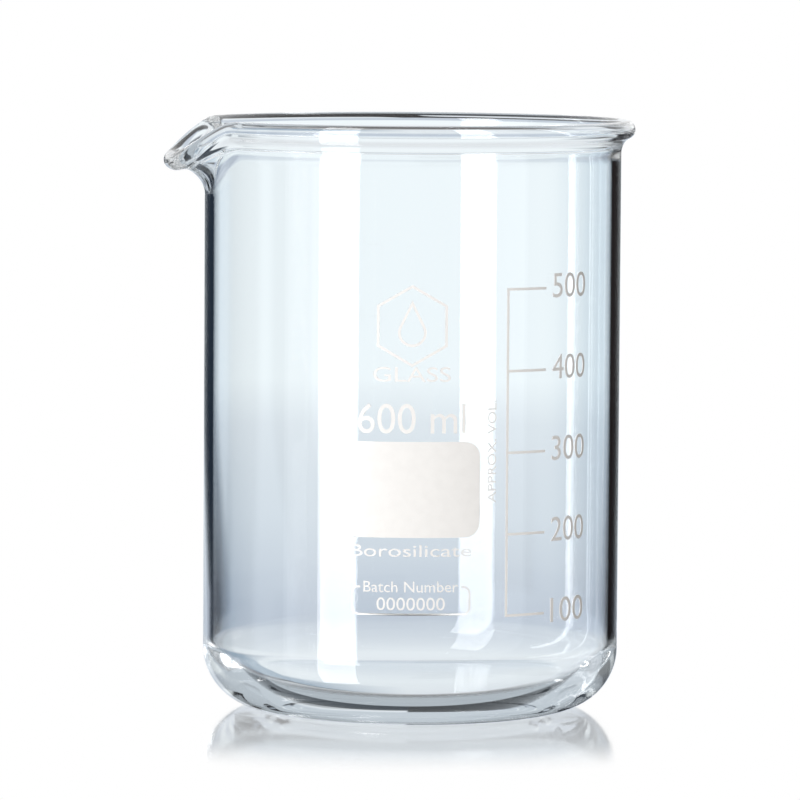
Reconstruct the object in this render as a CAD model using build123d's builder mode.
from build123d import *
import math
import os

# A 600 ml low-form beaker: one piece of blown borosilicate glass with its fired enamel print.
# Millimetres, +Z up. The origin is where the axis meets the surface that the beaker stands on.
# The print faces -Y. The spout points to -X, turned a little towards the print.

# ---- glass ----
HEIGHT = 127.5
OUTER_RADIUS = 45.0
WALL = 2.0
FLOOR = 4.5
HEEL_RADIUS = 13.0  # the outer corner between wall and base
INNER_HEEL_RADIUS = 11.0
BEAD_RADIUS = 2.0  # the rounded rim
RIM_RADIUS = 48.0  # the outermost line of the rim
LIP_BAND = 19.0  # the band below the top that the spout is drawn from
BAND_STEP = 0.05  # the band's foot stands this much inside both faces of the wall below it

# ---- spout ----
SPOUT_TURN = 8.0  # degrees from -X towards the print
SPOUT_REACH = 5.9  # how far the rim is drawn out at the tip
SPOUT_DROP = 7.0  # how far it is drawn down there
SPOUT_HALF_ANGLE = 28.0
SPOUT_TIP_HALF_ANGLE = 4.0  # the tip keeps its full reach over this angle
SPOUT_SECTIONS = 13

# ---- flare between wall and bead: (on the plain rim, in the middle of the spout) ----
NECK_DROP = (7.2, 16.2)  # the wall's outside starts to flare this far below the top
THROAT_DROP = (9.0, 16.0)  # and its inside this far
BEAD_UNDER = (-65.0, -110.0)  # angle on the bead where the flare's outside meets it
BEAD_OVER = (170.0, 110.0)  # angle on the bead where the flare's inside meets it
REACH_OUT = (1.4, 2.8)  # how far the outside curve's handles reach
REACH_IN = (2.0, 4.2)  # how far the inside curve's handles reach

# ---- print: enamel screened on the outside and fired, with angles round from the front ----
ENAMEL = 0.08  # thickness of the fired enamel
PLATE_INSIDE = 3.0  # a wide shape starts as a plate from this far inside the glass's skin
PLATE_OUTSIDE = 1.5  # to this far outside it, and is then trimmed to the enamel's thickness
STROKE = 0.55  # width of a printed line
SCALE_ANGLE = 26.5  # the upright line of the scale
TICK_END_ANGLE = 38.7
NUMERAL_ANGLE = 47.7
NUMERAL_CAP = 5.2
NUMERAL_WIDTH = 10.4
NUMERAL_LIFT = 0.5  # the numerals' middle is this much above their tick
LEGEND_ANGLE = 22.0
LEGEND_MIDDLE = 59.2
LEGEND_LENGTH = 21.5
LEGEND_CAP = 1.9
LEGEND_STROKE = 0.32
LEGEND_WORDS = "APPROX. VOL."
MARKS = (100, 200, 300, 400, 500)
MARK_SHIFT = 1.5  # the screen sits this much above the true levels: the marks are approximate
FIELD_WIDTH = 29.3
FIELD_BOTTOM = 41.2
FIELD_TOP = 61.4
FIELD_CORNER = 3.2
EMBLEM_MIDDLE = 85.7
EMBLEM_RADIUS = 8.6
DROP_RADIUS = 3.0
DROP_TIP = 4.8  # height of the drop's tip above the emblem's middle
DROP_SHOULDER = 30.0  # angle on the drop's bowl where the straight sides leave it
BATCH_WIDTH = 25.4
BATCH_BOTTOM = 24.8
BATCH_TOP = 31.0
BATCH_CORNER = 1.6
BATCH_GAP = 21.4  # the frame's top line is broken for its words
# name of the node: words, height of a capital, width, stroke, height of the base line
PRINT_LINES = {
    "name_line": ("GLASS", 3.1, 16.3, 0.5, 74.0),
    "capacity_mark": ("600 ml", 6.3, 22.8, 0.75, 63.1),
    "material_line": ("BOROSILICATE", 2.5, 25.6, 0.42, 37.2),
    "batch_words": ("BATCH NUMBER", 2.3, 20.0, 0.34, 29.7),
    "batch_digits": ("0000000", 2.7, 14.4, 0.38, 25.9),
}

# Letters are pen strokes on a grid: a capital is six units tall, and most are four wide.
CAP_UNITS = 6.0
LETTER_GAP = 1.8
BLANK_WIDTH = 2.4
ROUND_0 = [(1, 0), (3, 0), (4, 1.4), (4, 4.6), (3, 6), (1, 6), (0, 4.6), (0, 1.4), (1, 0)]
ROUND_C = [(4, 5), (3, 6), (1, 6), (0, 4.6), (0, 1.4), (1, 0), (3, 0), (4, 1)]
BOWL_P = [(0, 0), (0, 6), (3, 6), (4, 5), (4, 3.8), (3, 2.8), (0, 2.8)]
LETTERS = {
    "0": [ROUND_0],
    "1": [[(0, 4.6), (1.4, 6), (1.4, 0)]],
    "2": [[(0, 4.8), (1, 6), (3, 6), (4, 4.8), (4, 3.8), (0, 0), (4, 0)]],
    "3": [
        [(0, 5.2), (1, 6), (3, 6), (4, 5), (4, 4), (3, 3.1), (1.6, 3.1)],
        [(3, 3.1), (4, 2.2), (4, 1), (3, 0), (1, 0), (0, 0.8)],
    ],
    "4": [[(3, 0), (3, 6), (0, 1.8), (4, 1.8)]],
    "5": [
        [(3.7, 6), (0.6, 6), (0.2, 3.2)],
        [(0.2, 3.2), (1.2, 3.8), (3, 3.8), (4, 2.6), (4, 1.2), (3, 0), (1, 0), (0, 1)],
    ],
    "6": [
        [(3.8, 5.2), (3, 6), (1.2, 6), (0, 4.6), (0, 1.2), (1, 0), (3, 0)],
        [(3, 0), (4, 1.2), (4, 2.5), (3, 3.7), (1, 3.7), (0, 2.6)],
    ],
    "m": [
        [(0, 0), (0, 4)],
        [(0, 3.2), (1, 4), (2, 4), (2.6, 3.3), (2.6, 0)],
        [(2.6, 3.2), (3.6, 4), (4.6, 4), (5.2, 3.3), (5.2, 0)],
    ],
    "l": [[(0, 0), (0, 6)]],
    "A": [[(0, 0), (2, 6), (4, 0)], [(0.7, 2), (3.3, 2)]],
    "B": [BOWL_P, [(3, 2.8), (4, 2), (4, 0.9), (3, 0), (0, 0)]],
    "C": [ROUND_C],
    "E": [[(4, 6), (0, 6), (0, 0), (4, 0)], [(0, 3), (3.4, 3)]],
    "G": [ROUND_C + [(4, 2.8), (2.4, 2.8)]],
    "H": [[(0, 0), (0, 6)], [(4, 0), (4, 6)], [(0, 3), (4, 3)]],
    "I": [[(0, 0), (0, 6)]],
    "L": [[(0, 6), (0, 0), (3.4, 0)]],
    "M": [[(0, 0), (0, 6), (2.2, 2), (4.4, 6), (4.4, 0)]],
    "N": [[(0, 0), (0, 6), (4, 0), (4, 6)]],
    "O": [ROUND_0],
    "P": [BOWL_P],
    "R": [BOWL_P, [(2.2, 2.8), (4, 0)]],
    "S": [
        [(4, 5), (3, 6), (1, 6), (0, 5), (0, 4), (1, 3.1), (3, 3.1)],
        [(3, 3.1), (4, 2.2), (4, 1), (3, 0), (1, 0), (0, 1)],
    ],
    "T": [[(0, 6), (4, 6)], [(2, 6), (2, 0)]],
    "U": [[(0, 6), (0, 1.4), (1, 0), (3, 0), (4, 1.4), (4, 6)]],
    "V": [[(0, 6), (2, 0), (4, 6)]],
    "X": [[(0, 0), (4, 6)], [(0, 6), (4, 0)]],
    ".": [[(0, 0), (0.1, 0)]],
}

inner_radius = OUTER_RADIUS - WALL
lip_base = HEIGHT - LIP_BAND
spout_angle = 180.0 + SPOUT_TURN
plate_radius = OUTER_RADIUS - PLATE_INSIDE

os.makedirs("parts", exist_ok=True)


def polar(radius, angle, origin=(0.0, 0.0)):
    """The point at a radius and an angle in degrees from an origin."""
    turn = math.radians(angle)
    return (origin[0] + radius * math.cos(turn), origin[1] + radius * math.sin(turn))


def mix(low, high, share):
    """The value that is a share of the way from low to high."""
    return low + (high - low) * share


def spout_weight(offset):
    """How much of the spout's full draw the rim has, at an angle from the spout's middle."""
    share = (abs(offset) - SPOUT_TIP_HALF_ANGLE) / (SPOUT_HALF_ANGLE - SPOUT_TIP_HALF_ANGLE)
    share = min(max(share, 0.0), 1.0)
    return 0.5 * (1.0 + math.cos(math.pi * share))


def upright_plane(angle):
    """The upright plane through the axis, with its x axis pointing out at an angle."""
    out = polar(1.0, angle)
    return Plane(origin=(0, 0, 0), x_dir=(out[0], out[1], 0), z_dir=(out[1], -out[0], 0))


def lip_outline(weight):
    """The outline of the upper wall and its bead: the plain rim at 0, the spout's middle at 1."""
    centre = (
        RIM_RADIUS - BEAD_RADIUS + SPOUT_REACH * weight,
        HEIGHT - BEAD_RADIUS - SPOUT_DROP * weight,
    )
    under = mix(*BEAD_UNDER, weight)
    over = mix(*BEAD_OVER, weight)
    start = polar(BEAD_RADIUS, under, centre)
    middle = polar(BEAD_RADIUS, (under + over) / 2, centre)
    end = polar(BEAD_RADIUS, over, centre)
    neck = (OUTER_RADIUS, HEIGHT - mix(*NECK_DROP, weight))
    throat = (inner_radius, HEIGHT - mix(*THROAT_DROP, weight))
    reach_out = mix(*REACH_OUT, weight)
    reach_in = mix(*REACH_IN, weight)
    foot_out = (OUTER_RADIUS - BAND_STEP, lip_base)
    foot_in = (inner_radius + BAND_STEP, lip_base)
    with BuildLine() as outline:
        Line(foot_out, neck)
        Bezier(neck, (neck[0], neck[1] + reach_out), polar(reach_out, under - 90, start), start)
        ThreePointArc(start, middle, end)
        Bezier(end, polar(reach_in, over + 90, end), (throat[0], throat[1] + reach_in), throat)
        Line(throat, foot_in)
        Line(foot_in, foot_out)
    return outline.line


plain_lip = lip_outline(0.0)
spout_offsets = [
    mix(-SPOUT_HALF_ANGLE, SPOUT_HALF_ANGLE, step / (SPOUT_SECTIONS - 1))
    for step in range(SPOUT_SECTIONS)
]
spout_lips = [lip_outline(spout_weight(offset)) for offset in spout_offsets]

# ---------------------------------------------------------------- the glass
with BuildPart() as glass_vessel:
    # Cup: base, rounded heel and wall, up to where the spout's band starts.
    with BuildSketch(Plane.XZ):
        with BuildLine():
            Line((0, 0), (OUTER_RADIUS - HEEL_RADIUS, 0))
            RadiusArc(
                (OUTER_RADIUS - HEEL_RADIUS, 0), (OUTER_RADIUS, HEEL_RADIUS), -HEEL_RADIUS
            )
            Line((OUTER_RADIUS, HEEL_RADIUS), (OUTER_RADIUS, lip_base))
            Line((OUTER_RADIUS, lip_base), (inner_radius, lip_base))
            Line((inner_radius, lip_base), (inner_radius, FLOOR + INNER_HEEL_RADIUS))
            RadiusArc(
                (inner_radius, FLOOR + INNER_HEEL_RADIUS),
                (inner_radius - INNER_HEEL_RADIUS, FLOOR),
                INNER_HEEL_RADIUS,
            )
            Line((inner_radius - INNER_HEEL_RADIUS, FLOOR), (0, FLOOR))
            Line((0, FLOOR), (0, 0))
        make_face()
    revolve(axis=Axis.Z)

    # Plain rim, all round but for the spout.
    with BuildSketch(upright_plane(spout_angle + SPOUT_HALF_ANGLE)):
        add(plain_lip)
        make_face()
    revolve(axis=Axis.Z, revolution_arc=360.0 - 2.0 * SPOUT_HALF_ANGLE)

    # Spout, drawn through upright sections from one side of it to the other.
    for offset, lip in zip(spout_offsets, spout_lips):
        with BuildSketch(upright_plane(spout_angle + offset)):
            add(lip)
            make_face()
    loft()
glass_vessel.part.label = "glass_vessel"
export_step(glass_vessel.part, "parts/glass_vessel.step")


# ---------------------------------------------------------------- the print
def front_plane(angle, height, radius=OUTER_RADIUS):
    """A plane along the glass at an angle round from the front: x to the right, y up, z out."""
    turn = math.radians(angle)
    return Plane(
        origin=(radius * math.sin(turn), -radius * math.cos(turn), height),
        x_dir=(math.cos(turn), math.sin(turn), 0),
        z_dir=(math.sin(turn), -math.cos(turn), 0),
    )


def letter_face(letter, unit, stroke):
    """A letter drawn with a round pen, standing on its base line, about its own middle."""
    strokes = LETTERS[letter]
    half_width = max(x for line in strokes for x, y in line) / 2
    with BuildSketch() as face:
        for line in strokes:
            for (x0, y0), (x1, y1) in zip(line, line[1:]):
                middle = ((x0 + x1) / 2 - half_width, (y0 + y1) / 2)
                with Locations((middle[0] * unit, middle[1] * unit + stroke / 2)):
                    SlotCenterToCenter(
                        math.hypot(x1 - x0, y1 - y0) * unit,
                        stroke,
                        rotation=math.degrees(math.atan2(y1 - y0, x1 - x0)),
                    )
    return face.sketch


def spaced_letters(words, cap, width, stroke):
    """Each letter of a line of print with the place of its middle, from the line's middle."""
    unit = (cap - stroke) / CAP_UNITS
    spaced = []
    place = 0.0
    for letter in words:
        if letter == " ":
            place += BLANK_WIDTH
            continue
        letter_width = max(x for line in LETTERS[letter] for x, y in line)
        spaced.append((letter_face(letter, unit, stroke), place + letter_width / 2))
        place += letter_width + LETTER_GAP
    length = place - LETTER_GAP
    spread = (width - stroke) / length
    return [(face, (middle - length / 2) * spread) for face, middle in spaced]


def wrapped_letters(words, cap, width, stroke, angle, base):
    """Each letter of a line of print, with a plane that touches the glass where it goes."""
    return [
        (front_plane(angle + math.degrees(place / OUTER_RADIUS), base), letter)
        for letter, place in spaced_letters(words, cap, width, stroke)
    ]


with BuildPart() as enamel_skin:
    with BuildSketch():
        Circle(OUTER_RADIUS + ENAMEL)
        Circle(OUTER_RADIUS, mode=Mode.SUBTRACT)
    extrude(amount=HEIGHT)

# Levels of the marks, from the room inside the cup. The rounded heel fills a square corner's
# room down to a quarter circle, and the centroid of what it fills is 0.223 radii from the wall.
HEEL_CENTROID = 0.223
CUBIC_MM_PER_ML = 1000.0
bore_area = math.pi * inner_radius**2
heel_section = (1 - math.pi / 4) * INNER_HEEL_RADIUS**2
heel_fill = heel_section * 2 * math.pi * (inner_radius - HEEL_CENTROID * INNER_HEEL_RADIUS)
scale_zero = FLOOR + heel_fill / bore_area + MARK_SHIFT
mark_heights = {mark: scale_zero + mark * CUBIC_MM_PER_ML / bore_area for mark in MARKS}

# Lines of print that follow the glass round: each letter is a thin plate of enamel.
for name, (words, cap, width, stroke, base) in PRINT_LINES.items():
    letters = wrapped_letters(words, cap, width, stroke, 0.0, base)
    with BuildPart() as print_line:
        for plane, letter in letters:
            with BuildSketch(plane):
                add(letter)
        extrude(amount=ENAMEL)
    print_line.part.label = name
    export_step(print_line.part, f"parts/{name}.step")

# Numerals, each beside the end of its tick.
for mark, height in mark_heights.items():
    base = height + NUMERAL_LIFT - NUMERAL_CAP / 2
    letters = wrapped_letters(str(mark), NUMERAL_CAP, NUMERAL_WIDTH, STROKE, NUMERAL_ANGLE, base)
    with BuildPart() as numeral:
        for plane, letter in letters:
            with BuildSketch(plane):
                add(letter)
        extrude(amount=ENAMEL)
    numeral.part.label = f"numeral_{mark}"
    export_step(numeral.part, f"parts/numeral_{mark}.step")

# Scale: an upright line with a tick for each mark.
scale_low = mark_heights[MARKS[0]] - STROKE / 2
scale_high = mark_heights[MARKS[-1]] + STROKE / 2
with BuildPart() as graduation_scale:
    with BuildSketch(upright_plane(SCALE_ANGLE - 90.0)):
        with Locations((OUTER_RADIUS + ENAMEL / 2, (scale_low + scale_high) / 2)):
            Rectangle(ENAMEL, scale_high - scale_low)
    revolve(axis=Axis.Z, revolution_arc=math.degrees(STROKE / OUTER_RADIUS))
    for height in mark_heights.values():
        with BuildSketch(upright_plane(SCALE_ANGLE - 90.0)):
            with Locations((OUTER_RADIUS + ENAMEL / 2, height)):
                Rectangle(ENAMEL, STROKE)
        revolve(axis=Axis.Z, revolution_arc=TICK_END_ANGLE - SCALE_ANGLE)
graduation_scale.part.label = "graduation_scale"
export_step(graduation_scale.part, "parts/graduation_scale.step")

# Legend, read upwards beside the scale.
legend_plane = Plane(
    origin=front_plane(LEGEND_ANGLE, LEGEND_MIDDLE).origin,
    x_dir=(0, 0, 1),
    z_dir=front_plane(LEGEND_ANGLE, LEGEND_MIDDLE).z_dir,
)
legend_letters = spaced_letters(LEGEND_WORDS, LEGEND_CAP, LEGEND_LENGTH, LEGEND_STROKE)
with BuildPart() as scale_legend:
    with BuildSketch(legend_plane):
        for letter, place in legend_letters:
            add(letter.moved(Location((place, 0, 0))))
    extrude(amount=ENAMEL)
scale_legend.part.label = "scale_legend"
export_step(scale_legend.part, "parts/scale_legend.step")

# Marking field: a patch to write on with a pencil.
with BuildPart() as marking_field:
    with BuildSketch(front_plane(0.0, (FIELD_BOTTOM + FIELD_TOP) / 2, plate_radius)):
        RectangleRounded(FIELD_WIDTH, FIELD_TOP - FIELD_BOTTOM, FIELD_CORNER)
    extrude(amount=PLATE_INSIDE + PLATE_OUTSIDE)
    add(enamel_skin.part, mode=Mode.INTERSECT)
marking_field.part.label = "marking_field"
export_step(marking_field.part, "parts/marking_field.step")

# Emblem: a hexagon round a falling drop.
with BuildPart() as emblem:
    with BuildSketch(front_plane(0.0, EMBLEM_MIDDLE, plate_radius)):
        RegularPolygon(EMBLEM_RADIUS, 6, rotation=30)
        RegularPolygon(EMBLEM_RADIUS - 2 * STROKE, 6, rotation=30, mode=Mode.SUBTRACT)
        with Locations((0, -DROP_RADIUS / 2)):
            Circle(DROP_RADIUS)
        with BuildLine():
            tip = (0, DROP_TIP)
            side = polar(DROP_RADIUS, DROP_SHOULDER, (0, -DROP_RADIUS / 2))
            Polyline(tip, side, (-side[0], side[1]), tip)
        make_face()
    extrude(amount=PLATE_INSIDE + PLATE_OUTSIDE)
    add(enamel_skin.part, mode=Mode.INTERSECT)
emblem.part.label = "emblem"
export_step(emblem.part, "parts/emblem.step")

# Batch frame: a rounded box whose top line is broken for its words.
with BuildPart() as batch_frame:
    box_height = BATCH_TOP - BATCH_BOTTOM
    with BuildSketch(front_plane(0.0, (BATCH_BOTTOM + BATCH_TOP) / 2, plate_radius)):
        RectangleRounded(BATCH_WIDTH, box_height, BATCH_CORNER)
        RectangleRounded(
            BATCH_WIDTH - 2 * STROKE,
            box_height - 2 * STROKE,
            BATCH_CORNER - STROKE,
            mode=Mode.SUBTRACT,
        )
        with Locations((0, box_height / 2)):
            Rectangle(BATCH_GAP, box_height / 2, mode=Mode.SUBTRACT)
    extrude(amount=PLATE_INSIDE + PLATE_OUTSIDE)
    add(enamel_skin.part, mode=Mode.INTERSECT)
batch_frame.part.label = "batch_frame"
export_step(batch_frame.part, "parts/batch_frame.step")
